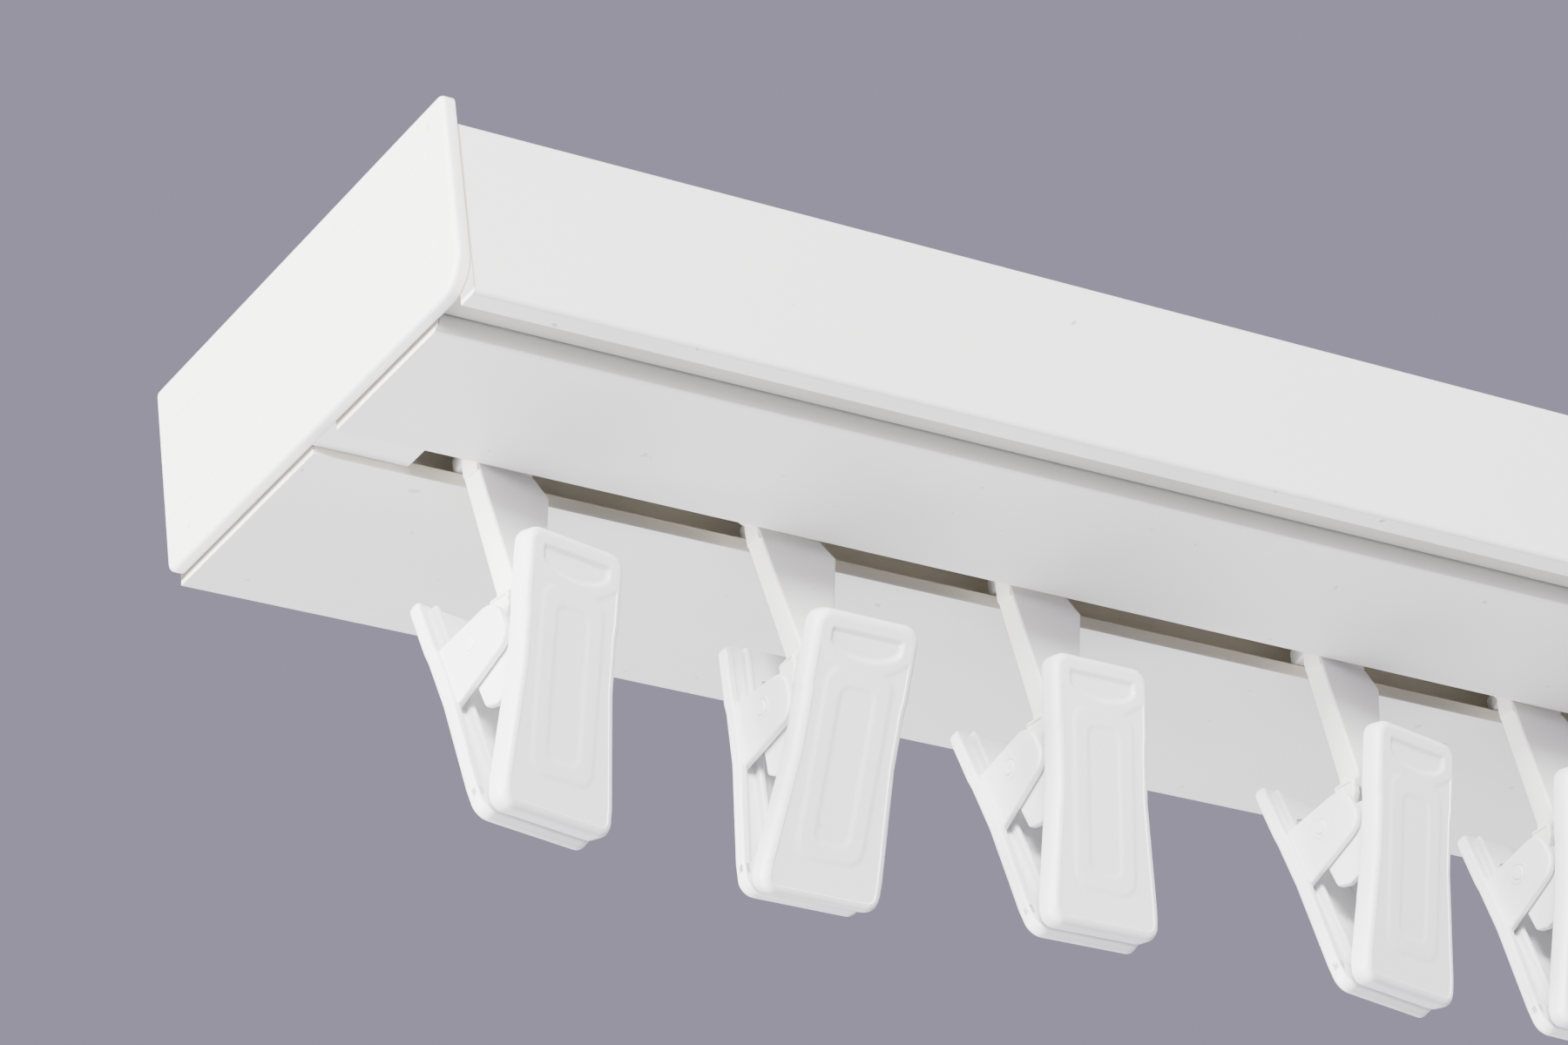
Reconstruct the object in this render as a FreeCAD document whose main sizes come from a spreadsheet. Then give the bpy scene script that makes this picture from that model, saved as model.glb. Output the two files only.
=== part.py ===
import FreeCAD, Part
import Sketcher
import math
import os
import re

from FreeCAD import Placement, Rotation, Vector

os.makedirs("parts", exist_ok=True)
doc = FreeCAD.newDocument("curtain_track")

# Driving dimensions, millimetres and degrees.
# Across the track, distances run backwards from the face of the fascia; heights run up from the underside.
SIZES = {
    "track_length": 600, "track_depth": 77.5, "track_height": 30, "track_wall": 1.5, "running_floor": 2.0,
    "track_front": 8.7, "track_corner": 1.8, "slot_middle": 38.2, "slot_width": 6.2, "channel_width": 18,
    "screw_hole": 4.5, "screw_inset": 50,
    "hook_low": 7, "hook_high": 19, "hook_stem": 1.2, "hook_head": 2.8, "hook_reach": 3.4, "hook_tip": 1.2,
    "fascia_height": 25.5, "fascia_wall": 1.6, "lip_depth": 3.3, "lip_height": 2.2, "groove_rise": 2.0,
    "fascia_gap": 0.3, "finger_wall": 0.9, "snap_gap": 0.15, "fascia_edge": 0.7,
    "cap_wall": 2.1, "cap_rise": 1.2, "cap_top_gap": 0.4, "cap_front_corner": 5, "cap_corner": 2, "cap_edge": 0.5,
    "plug_length": 8, "plug_wall": 1.3, "plug_gap": 0.05,
    "stop_length": 14, "stop_rise": 1.2, "stop_height": 8, "stop_gap": 0.1, "stop_tongue": 6.0,
    "head_left": 8.2, "head_right": 3.6, "head_width": 11, "head_corner": 2.0, "head_wall": 2.6, "head_gap": 0.3,
    "neck_left": 6.9, "neck_right": 3.3, "neck_wall": 2.9,
    "stem_wall": 3.5, "stem_top": 0.5, "stem_left": 6.8, "stem_right": 5.6, "shoulder_drop": 1.5, "shoulder_width": 1.4,
    "stem_left_foot": 2.9, "stem_right_foot": 2.3, "stem_foot_drop": 17.8, "yoke_half": 4.5, "yoke_drop": 18.8,
    "yoke_bottom": 19.8, "cheek_wall": 1.3, "eye_radius": 2.2,
    "pin_back": 2.9, "pin_drop": 25.3, "pin_diameter": 2.0, "pin_length": 15.4, "pin_play": 0.1,
    "head_half": 8.3, "head_end": 4.0, "head_step": 1.5, "waist_half": 8.1, "waist_end": 5.0,
    "foot_half": 9.4, "foot_start": 20.0, "rim_wall": 1.3, "top_corner": 2.4, "foot_corner": 2.2, "hollow_foot": 20.3,
    "front_tilt": 14.0, "front_reach": 11.0, "front_top": 14.0, "front_bottom": 24.1, "front_rim": 3.05,
    "front_wall": 1.5, "front_edge": 0.8,
    "back_tilt": 15.6, "back_reach": 7.4, "back_top": 13.2, "back_bottom": 24.7, "back_rim": 2.1, "back_wall": 1.0,
    "back_edge": 0.4, "rib_half": 4.6, "rib_wall": 1.0, "rib_height": 1.2,
    "ear_wall": 1.2, "ear_outside": 7.5, "ear_gap": 0.3, "ear_reach": 6.2, "ear_above": 2.9, "ear_below": 3.9,
    "ear_root_above": 3.6, "ear_root_below": 6.3, "ear_corner": 3.0,
    "inner_ear_above": 3.6, "inner_ear_back": 2.6, "inner_ear_tip": 2.1, "inner_ear_below": 8.6, "inner_ear_root": 5.0,
    "wire_diameter": 0.7, "wire_sides": 8, "coil_radius": 2.0, "coil_turns": 2, "coil_corners": 10, "coil_width": 4.26,
    "leg_gap": 0.05, "leg_rise": 8.0,
}
# Where each glider hangs, from the left end of the track, with the turn, dip and lean that its play in the
# slot allows, and the swing of its clip about the pin.
STATIONS = [(27.3, 11.0, 0.0, -1.7, 1.4), (71.8, 0.9, 0.0, -2.9, 18.6), (112.5, 3.6, -2.1, 2.6, -3.6),
            (165.0, 10.9, 0.0, 0.0, 0.0), (201.0, 4.0, 0.0, 0.0, 0.0), (262.0, 7.0, 0.0, 0.0, 0.0),
            (345.0, 2.0, 0.0, 0.0, 0.0)]

for number, station in enumerate(STATIONS, start=1):
    for word, value in zip(("place", "turn", "dip", "lean", "swing"), station):
        SIZES[f"{word}_of_glider_{number}"] = value

sizes = doc.addObject("Spreadsheet::Sheet", "sizes")
for row, (alias, value) in enumerate(SIZES.items(), start=1):
    sizes.set(f"A{row}", alias)
    sizes.set(f"B{row}", str(value))
    sizes.setAlias(f"B{row}", alias)
doc.recompute()

WORD = re.compile(r"[a-z][a-z_]+[a-z0-9_]*")


def bound(formula):
    """The formula with each named size pointed at its cell in the sheet."""
    return WORD.sub(lambda found: "sizes." + found.group(0) if found.group(0) in SIZES
                    else found.group(0), str(formula))


def size(formula):
    """The value of a formula of named sizes."""
    return float(sizes.evalExpression(bound(formula)))


def body(label):
    made = doc.addObject("PartDesign::Body", label)
    made.Label = label
    return made


def sketch_on(made, role, name, offset=Placement()):
    """An empty sketch on one of the body's own origin planes, shifted or turned by the offset."""
    drawn = made.newObject("Sketcher::SketchObject", name)
    plane = next(item for item in made.Origin.OriginFeatures if item.Role == role)
    drawn.AttachmentSupport = (plane, "")
    drawn.MapMode = "FlatFace"
    drawn.AttachmentOffset = offset
    return drawn


def outline(drawn, corners):
    """A closed outline of straight sides, each corner held to its two formulas."""
    points = [Vector(size(across), size(up), 0) for across, up in corners]
    first = drawn.GeometryCount
    count = len(points)
    for i in range(count):
        drawn.addGeometry(Part.LineSegment(points[i], points[(i + 1) % count]), False)
    for i in range(count):
        following = first + (i + 1) % count
        drawn.addConstraint(Sketcher.Constraint("Coincident", first + i, 2, following, 1))
    for i, (across, up) in enumerate(corners):
        for kind, formula, value in (("DistanceX", across, points[i].x), ("DistanceY", up, points[i].y)):
            if abs(value) < 1e-9:
                axis = -2 if kind == "DistanceX" else -1
                drawn.addConstraint(Sketcher.Constraint("PointOnObject", first + i, 1, axis))
                continue
            held = drawn.addConstraint(Sketcher.Constraint(kind, -1, 1, first + i, 1, value))
            drawn.setExpression(f"Constraints[{held}]", bound(formula))


def ring(drawn, across, up, diameter):
    """A circle held to its centre and its diameter."""
    centre = Vector(size(across), size(up), 0)
    made = drawn.addGeometry(Part.Circle(centre, Vector(0, 0, 1), size(diameter) / 2), False)
    for kind, formula, value in (("DistanceX", across, centre.x), ("DistanceY", up, centre.y)):
        if abs(value) < 1e-9:
            drawn.addConstraint(Sketcher.Constraint("PointOnObject", made, 3, -2 if kind == "DistanceX" else -1))
            continue
        held = drawn.addConstraint(Sketcher.Constraint(kind, -1, 1, made, 3, value))
        drawn.setExpression(f"Constraints[{held}]", bound(formula))
    held = drawn.addConstraint(Sketcher.Constraint("Diameter", made, size(diameter)))
    drawn.setExpression(f"Constraints[{held}]", bound(diameter))


def pad(made, drawn, name, length, middle=False, turned=False):
    added = made.newObject("PartDesign::Pad", name)
    added.Profile = drawn
    added.setExpression("Length", bound(length))
    added.Midplane = middle
    added.Reversed = turned
    drawn.Visibility = False
    doc.recompute()
    return added


def pocket(made, drawn, name, length, middle=False, turned=False):
    before = made.Shape.Volume
    cut = made.newObject("PartDesign::Pocket", name)
    cut.Profile = drawn
    cut.setExpression("Length", bound(length))
    cut.Midplane = middle
    cut.Reversed = turned
    doc.recompute()
    if made.Shape.Volume > before - 1e-3:
        raise RuntimeError(f"{made.Label}: {name} cuts nothing")
    return cut


def fillet(made, name, radius, chosen):
    """Round the edges of the body for which chosen(edge) is true."""
    base = made.Tip
    names = [f"Edge{i}" for i, edge in enumerate(base.Shape.Edges, start=1) if chosen(edge)]
    rounded = made.newObject("PartDesign::Fillet", name)
    rounded.Base = (base, names)
    rounded.setExpression("Radius", bound(radius))
    doc.recompute()
    return rounded


def chamfer(made, name, width, chosen):
    """Break the edges of the body for which chosen(edge) is true."""
    base = made.Tip
    names = [f"Edge{i}" for i, edge in enumerate(base.Shape.Edges, start=1) if chosen(edge)]
    broken = made.newObject("PartDesign::Chamfer", name)
    broken.Base = (base, names)
    broken.setExpression("Size", bound(width))
    doc.recompute()
    return broken


def along(edge, axis):
    """True for a straight edge that runs along the axis."""
    start, end = edge.Vertexes[0].Point, edge.Vertexes[-1].Point
    span = end - start
    return edge.Length > 0 and abs(abs(span.dot(axis)) - edge.Length) < 1e-6 * max(edge.Length, 1)


def near(value, formula, slack=0.05):
    return abs(value - size(formula)) < slack


ALONG_X = Vector(1, 0, 0)
# The side view looks along the track: its first axis runs backwards and its second runs up.
SIDE = "YZ_Plane"
FRONT = "XZ_Plane"
# The part's own origin is on the ceiling, over the middle of the slot and half way along the track.
TRACK_AT = Vector(0, -size("slot_middle"), -size("track_height"))


def place_along(made, x_formula, turn=Rotation()):
    made.Placement = Placement(TRACK_AT + Vector(size(x_formula), 0, 0), turn)


# The track is one extrusion: two hollow wings, a running channel with a slot in its floor,
# and two mushroom ribs on its front wall for the fascia.
def make_track():
    made = body("track")
    section = sketch_on(made, SIDE, "track_section")
    outline(section, [
        ("track_front", "0"), ("slot_middle - slot_width / 2", "0"),
        ("slot_middle - slot_width / 2", "running_floor"), ("slot_middle - channel_width / 2", "running_floor"),
        ("slot_middle - channel_width / 2", "track_height - track_wall"),
        ("slot_middle + channel_width / 2", "track_height - track_wall"),
        ("slot_middle + channel_width / 2", "running_floor"), ("slot_middle + slot_width / 2", "running_floor"),
        ("slot_middle + slot_width / 2", "0"), ("track_depth", "0"), ("track_depth", "track_height"),
        ("track_front", "track_height"),
    ])
    outline(section, [
        ("track_front + track_wall", "track_wall"),
        ("slot_middle - channel_width / 2 - track_wall", "track_wall"),
        ("slot_middle - channel_width / 2 - track_wall", "track_height - track_wall"),
        ("track_front + track_wall", "track_height - track_wall"),
    ])
    outline(section, [
        ("slot_middle + channel_width / 2 + track_wall", "track_wall"), ("track_depth - track_wall", "track_wall"),
        ("track_depth - track_wall", "track_height - track_wall"),
        ("slot_middle + channel_width / 2 + track_wall", "track_height - track_wall"),
    ])
    pad(made, section, "track_extrusion", "track_length", middle=True)
    ribs = sketch_on(made, SIDE, "hook_section")
    for level in ("hook_low", "hook_high"):
        outline(ribs, [
            ("track_front + 0.1", f"{level} - hook_stem / 2"),
            ("track_front - hook_reach + hook_tip", f"{level} - hook_stem / 2"),
            ("track_front - hook_reach + hook_tip", f"{level} - hook_head / 2"),
            ("track_front - hook_reach", f"{level} - hook_stem / 2"),
            ("track_front - hook_reach", f"{level} + hook_stem / 2"),
            ("track_front - hook_reach + hook_tip", f"{level} + hook_head / 2"),
            ("track_front - hook_reach + hook_tip", f"{level} + hook_stem / 2"),
            ("track_front + 0.1", f"{level} + hook_stem / 2"),
        ])
    pad(made, ribs, "hook_ribs", "track_length", middle=True)
    # Round holes for the ceiling screws go through the roof of the running channel.
    holes = sketch_on(made, "XY_Plane", "screw_holes", Placement(Vector(0, 0, size("track_height")), Rotation()))
    for place in ("screw_inset - track_length / 2", "0", "track_length / 2 - screw_inset"):
        ring(holes, place, "slot_middle", "screw_hole")
    pocket(made, holes, "screw_hole_cut", "track_wall * 2")
    fillet(made, "front_corner", "track_corner", lambda edge: along(edge, ALONG_X)
           and near(edge.CenterOfMass.y, "track_front") and near(edge.CenterOfMass.z, "0"))
    place_along(made, "0")
    return made


# The fascia is a second extrusion that snaps on the front: its lip turns under, its floor closes the groove
# to the track, and two pairs of fingers hold the mushroom ribs.
def make_fascia():
    made = body("fascia")
    section = sketch_on(made, SIDE, "fascia_section")
    back = "track_front - fascia_gap"
    outline(section, [
        ("0", "0"), ("lip_depth", "0"), ("lip_depth", "groove_rise"), (back, "groove_rise"),
        (back, "groove_rise + lip_height / 2"), ("lip_depth", "groove_rise + lip_height / 2"),
        ("fascia_wall", "groove_rise + lip_height"), ("fascia_wall", "fascia_height"), ("0", "fascia_height"),
    ])
    pad(made, section, "fascia_extrusion", "track_length", middle=True)
    fingers = sketch_on(made, SIDE, "finger_section")
    root = "fascia_wall - 0.1"
    behind = "track_front - hook_reach + hook_tip + snap_gap"
    for level in ("hook_low", "hook_high"):
        for way in ("-", "+"):
            inner = f"{level} {way} (hook_head / 2 + snap_gap)"
            outer = f"{level} {way} (hook_head / 2 + snap_gap + finger_wall)"
            barb = f"{level} {way} (hook_stem / 2 + snap_gap)"
            outline(fingers, [
                (root, inner), (behind, inner), (behind, barb), (f"{behind} + finger_wall / 2", barb),
                (f"{behind} + finger_wall", inner), (f"{behind} + finger_wall", outer), (root, outer),
            ])
    pad(made, fingers, "snap_fingers", "track_length", middle=True)
    fillet(made, "face_edges", "fascia_edge", lambda edge: along(edge, ALONG_X) and near(edge.CenterOfMass.y, "0"))
    place_along(made, "0")
    return made


# Each end cap is a moulded plate with two hollow plugs that press into the wings of the track.
# It is drawn at its inner face, with the plugs towards +X, and turned round for the right-hand end.
def make_cap(label, right):
    made = body(label)
    side = -1 if right else 1
    plate = sketch_on(made, SIDE, "plate_outline")
    outline(plate, [
        ("0", "cap_rise"), ("track_depth", "cap_rise"), ("track_depth", "track_height - cap_top_gap"),
        ("0", "track_height - cap_top_gap"),
    ])
    pad(made, plate, "plate", "cap_wall", turned=not right)
    wings = [("track_front + track_wall", "slot_middle - channel_width / 2 - track_wall"),
             ("slot_middle + channel_width / 2 + track_wall", "track_depth - track_wall")]
    plugs = sketch_on(made, SIDE, "plug_outline")
    for front, rear in wings:
        for inset in ("plug_gap", "(plug_gap + plug_wall)"):
            outline(plugs, [
                (f"{front} + {inset}", f"track_wall + {inset}"), (f"{rear} - {inset}", f"track_wall + {inset}"),
                (f"{rear} - {inset}", f"track_height - track_wall - {inset}"),
                (f"{front} + {inset}", f"track_height - track_wall - {inset}"),
            ])
    pad(made, plugs, "plugs", "plug_length", turned=right)
    fillet(made, "front_foot", "cap_front_corner", lambda edge: along(edge, ALONG_X)
           and near(edge.CenterOfMass.y, "0") and near(edge.CenterOfMass.z, "cap_rise"))
    fillet(made, "other_corners", "cap_corner", lambda edge: along(edge, ALONG_X)
           and (near(edge.CenterOfMass.y, "track_depth")
                or near(edge.CenterOfMass.y, "0") and near(edge.CenterOfMass.z, "track_height - cap_top_gap")))
    outer = -side * size("cap_wall")
    chamfer(made, "outer_edge", "cap_edge", lambda edge: all(abs(v.X - outer) < 0.01 for v in edge.Vertexes))
    place_along(made, "track_length / 2" if right else "-track_length / 2")
    return made


# An end stop fills the slot and the foot of the channel at each end, so that no glider runs out.
def make_stop(label, right):
    made = body(label)
    section = sketch_on(made, SIDE, "stop_section")
    outline(section, [
        ("slot_middle - stop_tongue / 2", "stop_rise"), ("slot_middle + stop_tongue / 2", "stop_rise"),
        ("slot_middle + stop_tongue / 2", "running_floor"),
        ("slot_middle + channel_width / 2 - stop_gap", "running_floor"),
        ("slot_middle + channel_width / 2 - stop_gap", "running_floor + stop_height"),
        ("slot_middle - channel_width / 2 + stop_gap", "running_floor + stop_height"),
        ("slot_middle - channel_width / 2 + stop_gap", "running_floor"),
        ("slot_middle - stop_tongue / 2", "running_floor"),
    ])
    pad(made, section, "stop_block", "stop_length", turned=right)
    place_along(made, "track_length / 2" if right else "-track_length / 2")
    return made


def hanging(number):
    """Where a glider hangs: its origin is in the middle of the slot, level with the underside of the track."""
    dip = size(f"dip_of_glider_{number}")
    lean = size(f"lean_of_glider_{number}")
    turn = Rotation(Vector(0, 0, 1), size(f"turn_of_glider_{number}"))
    swing = Rotation(Vector(1, 0, 0), lean).multiply(Rotation(Vector(0, 1, 0), dip))
    lift = size("head_width") / 2 * math.sin(math.radians(abs(lean)))
    lift += size("head_left") * math.sin(math.radians(abs(dip)))
    place = TRACK_AT + Vector(size(f"place_of_glider_{number} - track_length / 2"), size("slot_middle"), lift)
    return Placement(place, turn.multiply(swing))


def at_pin(number, lean):
    """The pin of a glider's clip, swung with the clip and with a lean of its own."""
    angle = size(f"swing_of_glider_{number}") + lean
    pin = Placement(Vector(0, size("pin_back"), -size("pin_drop")), Rotation(Vector(1, 0, 0), angle))
    return hanging(number).multiply(pin)


def mirrored(right_side):
    """The right half of an outline with its left half added."""
    return right_side + [(f"-({across})", up) for across, up in reversed(right_side)]


def level(distance):
    """The offset of a front view that far in front of the pin."""
    return Placement(Vector(0, 0, size(distance)), Rotation())


# A glider is one moulding: a head that slides on the lips of the slot, a thin neck, a tapering stem with one
# cut shoulder, and a yoke whose two cheeks hang the clip on its pin.
def make_glider(number):
    made = body(f"glider_{number}")
    made.Placement = hanging(number)
    stem = sketch_on(made, FRONT, "stem_outline")
    outline(stem, [
        ("-yoke_half", "-yoke_bottom"), ("yoke_half", "-yoke_bottom"), ("yoke_half", "-yoke_drop"),
        ("stem_right_foot", "-stem_foot_drop"), ("stem_right", "-shoulder_drop"),
        ("stem_right - shoulder_width", "-stem_top"), ("-stem_left", "-stem_top"),
        ("-stem_left_foot", "-stem_foot_drop"), ("-yoke_half", "-yoke_drop"),
    ])
    pad(made, stem, "stem", "stem_wall", middle=True)
    underside = "running_floor + head_gap"
    neck = sketch_on(made, FRONT, "neck_outline")
    outline(neck, [
        ("-neck_left", "-stem_top - 0.5"), ("neck_right", "-stem_top - 0.5"),
        ("neck_right", f"{underside} + head_wall / 2"), ("-neck_left", f"{underside} + head_wall / 2"),
    ])
    pad(made, neck, "neck", "neck_wall", middle=True)
    head = sketch_on(made, "XY_Plane", "head_outline", Placement(Vector(0, 0, size(underside)), Rotation()))
    outline(head, [
        ("head_right - head_corner", "-head_width / 2"), ("head_right", "head_corner - head_width / 2"),
        ("head_right", "head_width / 2 - head_corner"), ("head_right - head_corner", "head_width / 2"),
        ("head_corner - head_left", "head_width / 2"), ("-head_left", "head_width / 5"),
        ("-head_left", "-head_width / 5"), ("head_corner - head_left", "-head_width / 2"),
    ])
    pad(made, head, "head", "head_wall")
    for side in (-1, 1):
        across = Placement(Vector(0, 0, side * size("yoke_half")), Rotation())
        cheek = sketch_on(made, SIDE, f"cheek_{'left' if side < 0 else 'right'}", across)
        outline(cheek, [
            ("-stem_wall / 2", "-yoke_drop"), ("-stem_wall / 2", "-yoke_bottom - 1"),
            ("pin_back - eye_radius", "-pin_drop"), ("pin_back - eye_radius / 2", "-pin_drop - eye_radius"),
            ("pin_back + eye_radius / 2", "-pin_drop - eye_radius"), ("pin_back + eye_radius", "-pin_drop"),
            ("pin_back + eye_radius", "eye_radius - pin_drop"), ("stem_wall / 2", "-yoke_bottom"),
            ("stem_wall / 2", "-yoke_drop"),
        ])
        pad(made, cheek, f"{cheek.Name}_wall", "cheek_wall", turned=side > 0)
    bore = sketch_on(made, SIDE, "pin_bore")
    ring(bore, "pin_back", "-pin_drop", "pin_diameter + pin_play")
    pocket(made, bore, "pin_bore_cut", "yoke_half * 2 + 1", middle=True)
    return made


def lever_outline(top, bottom, inset="0"):
    """The outline of a lever: a broad head, a waist and a flared foot, drawn in by the inset."""
    return mirrored([
        (f"head_half - {inset}", f"{top} - {inset}"), (f"head_half - {inset}", "head_end"),
        (f"waist_half - {inset}", "head_end - head_step"), (f"waist_half - {inset}", "-waist_end"),
        (f"foot_half - {inset}", "-foot_start"), (f"foot_half - {inset}", bottom),
    ])


def lever_plate(made, top, bottom, face, edge):
    """Round the corners of a lever's plate and break the edge round its outer face."""
    ends = (("top_corner", top), ("foot_corner", bottom))
    for radius, end in ends:
        fillet(made, f"{radius}s", radius, lambda line: along(line, Vector(0, 1, 0))
               and near(line.CenterOfMass.z, end))
    chamfer(made, "face_edge", edge, lambda line: all(near(vertex.Y, face, 0.01) for vertex in line.Vertexes))


# The front lever of a clip is a tray with a rim behind it and two inner ears that hold the pin.
# It is drawn upright from the pin and leans forward.
def make_front(number):
    made = body(f"clip_front_{number}")
    tray = sketch_on(made, FRONT, "tray_outline", level("front_reach"))
    outline(tray, lever_outline("front_top", "-front_bottom"))
    pad(made, tray, "tray", "front_rim", turned=True)
    lever_plate(made, "front_top", "-front_bottom", "-front_reach", "front_edge")
    hollow = sketch_on(made, FRONT, "hollow_outline", level("front_reach - front_rim"))
    outline(hollow, lever_outline("front_top", "-hollow_foot", "rim_wall"))
    pocket(made, hollow, "hollow", "front_rim - front_wall", turned=True)
    for side in (-1, 1):
        across = Placement(Vector(0, 0, side * size("ear_outside - ear_wall - ear_gap")), Rotation())
        ear = sketch_on(made, SIDE, f"inner_ear_{'left' if side < 0 else 'right'}", across)
        outline(ear, [
            ("front_wall / 2 - front_reach", "inner_ear_above"), ("0", "inner_ear_above - 1"),
            ("inner_ear_back", "inner_ear_above / 3"), ("inner_ear_back", "-inner_ear_above / 3"),
            ("-inner_ear_tip", "-inner_ear_below"), ("-inner_ear_tip * 2", "-inner_ear_below"),
            ("front_wall / 2 - front_reach", "-inner_ear_root"),
        ])
        pad(made, ear, f"{ear.Name}_wall", "ear_wall", turned=side > 0)
    bore = sketch_on(made, SIDE, "pin_bore")
    ring(bore, "0", "0", "pin_diameter")
    pocket(made, bore, "pin_bore_cut", "ear_outside * 2", middle=True)
    made.Placement = at_pin(number, size("front_tilt"))
    return made


# The rear lever of a clip is a shallow channel with two ribs and two outer ears that turn on the pin.
# It is drawn upright from the pin and leans back.
def make_back(number):
    made = body(f"clip_back_{number}")
    plate = sketch_on(made, FRONT, "plate_outline", level("-back_reach"))
    outline(plate, lever_outline("back_top", "-back_bottom"))
    pad(made, plate, "plate", "back_rim")
    lever_plate(made, "back_top", "-back_bottom", "back_reach", "back_edge")
    hollow = sketch_on(made, FRONT, "hollow_outline", level("back_rim - back_reach"))
    outline(hollow, lever_outline("back_top", "-hollow_foot", "rim_wall"))
    pocket(made, hollow, "hollow", "back_rim - back_wall")
    ribs = sketch_on(made, FRONT, "rib_outline", level("back_wall - back_reach"))
    for side in ("", "-"):
        outline(ribs, [
            (f"{side}(rib_half + rib_wall / 2)", "back_top - rim_wall / 2"),
            (f"{side}(rib_half + rib_wall / 2)", "-(hollow_foot + back_bottom) / 2"),
            (f"{side}(rib_half - rib_wall / 2)", "-(hollow_foot + back_bottom) / 2"),
            (f"{side}(rib_half - rib_wall / 2)", "back_top - rim_wall / 2"),
        ])
    pad(made, ribs, "ribs", "rib_height")
    for side in (-1, 1):
        across = Placement(Vector(0, 0, side * size("ear_outside")), Rotation())
        ear = sketch_on(made, SIDE, f"ear_{'left' if side < 0 else 'right'}", across)
        outline(ear, [
            ("back_reach - back_wall / 2", "ear_root_above"), ("-ear_reach", "ear_above"),
            ("-ear_reach", "-ear_below"), ("back_reach - back_wall / 2", "-ear_root_below"),
        ])
        pad(made, ear, f"{ear.Name}_wall", "ear_wall", turned=side > 0)
    fillet(made, "ear_corners", "ear_corner", lambda line: along(line, ALONG_X)
           and near(line.CenterOfMass.y, "-ear_reach"))
    bore = sketch_on(made, SIDE, "pin_bore")
    ring(bore, "0", "0", "pin_diameter + pin_play")
    pocket(made, bore, "pin_bore_cut", "ear_outside * 2 + 1", middle=True)
    made.Placement = at_pin(number, -size("back_tilt"))
    return made


# A plain pin holds a clip together and hangs it: it is pressed into the inner ears, and the yoke of the
# glider and the outer ears turn on it.
def make_pin(number):
    made = body(f"clip_pin_{number}")
    section = sketch_on(made, SIDE, "pin_section")
    ring(section, "0", "0", "pin_diameter")
    pad(made, section, "pin", "pin_length", middle=True)
    made.Placement = at_pin(number, 0)
    return made


# The spring of a clip is one length of wire wound round the pin: its legs push the tops of the levers apart,
# which shuts the jaws. The wire runs along a line of short straights, with flat sides.
def make_spring(number):
    radius = size("coil_radius")
    rise = size("leg_rise")
    ends = []
    for tilt, back in ((-size("back_tilt"), size("back_reach - back_wall - wire_diameter / 2 - leg_gap")),
                       (size("front_tilt"), -size("front_reach - front_wall - wire_diameter / 2 - leg_gap"))):
        lean = math.radians(tilt)
        tip = (back * math.cos(lean) - rise * math.sin(lean), back * math.sin(lean) + rise * math.cos(lean))
        past_tip = math.copysign(math.acos(radius / math.hypot(*tip)), back)
        ends.append((tip, math.atan2(tip[1], tip[0]) + past_tip))
    (rear_tip, start), (front_tip, end) = ends
    wound = math.tau * size("coil_turns") + (end - start) % math.tau
    straights = round(wound / math.tau * size("coil_corners"))
    points = [Vector(-size("coil_width / 2"), *rear_tip)]
    for k in range(straights + 1):
        angle = start + wound * k / straights
        across = size("coil_width") * (k / straights - 0.5)
        points.append(Vector(across, radius * math.cos(angle), radius * math.sin(angle)))
    points.append(Vector(size("coil_width / 2"), *front_tip))
    line = doc.addObject("Part::Polygon", f"wire_line_{number}")
    line.Nodes = points
    section = doc.addObject("Part::RegularPolygon", f"wire_section_{number}")
    section.setExpression("Polygon", bound("wire_sides"))
    section.setExpression("Circumradius", bound("wire_diameter / 2"))
    section.Placement = Placement(points[0], Rotation(Vector(0, 0, 1), points[1] - points[0]))
    doc.recompute()
    spring = doc.addObject("Part::Sweep", f"clip_spring_{number}")
    spring.Sections = [section]
    spring.Spine = (line, [f"Edge{k + 1}" for k in range(len(line.Shape.Edges))])
    spring.Solid = True
    spring.Frenet = True
    spring.Transition = "Right corner"
    spring.Label = f"clip_spring_{number}"
    spring.Placement = at_pin(number, 0)
    doc.recompute()
    return spring


def make_all():
    made = [make_track(), make_fascia()]
    for make, name in ((make_cap, "end_cap"), (make_stop, "end_stop")):
        made.append(make(f"{name}_left", right=False))
        made.append(make(f"{name}_right", right=True))
    for number in range(1, len(STATIONS) + 1):
        made += [make_glider(number), make_front(number), make_back(number)]
        made += [make_pin(number), make_spring(number)]
    return made


pieces = make_all()
doc.recompute()
for item in doc.Objects:
    if "Invalid" in item.State or "Error" in item.State:
        raise RuntimeError(f"{item.Label} failed: {item.State}")
for piece in pieces:
    if piece.Shape.isNull() or not piece.Shape.isValid():
        raise RuntimeError(f"{piece.Label} has no valid shape")
for piece in pieces:
    piece.Shape.exportStep(f"parts/{piece.Label}.step")
    print(piece.Label, round(piece.Shape.Volume, 1), len(piece.Shape.Solids), piece.Shape.BoundBox)
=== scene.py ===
import math

import bpy
import numpy as np
from mathutils import Matrix, Vector


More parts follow.
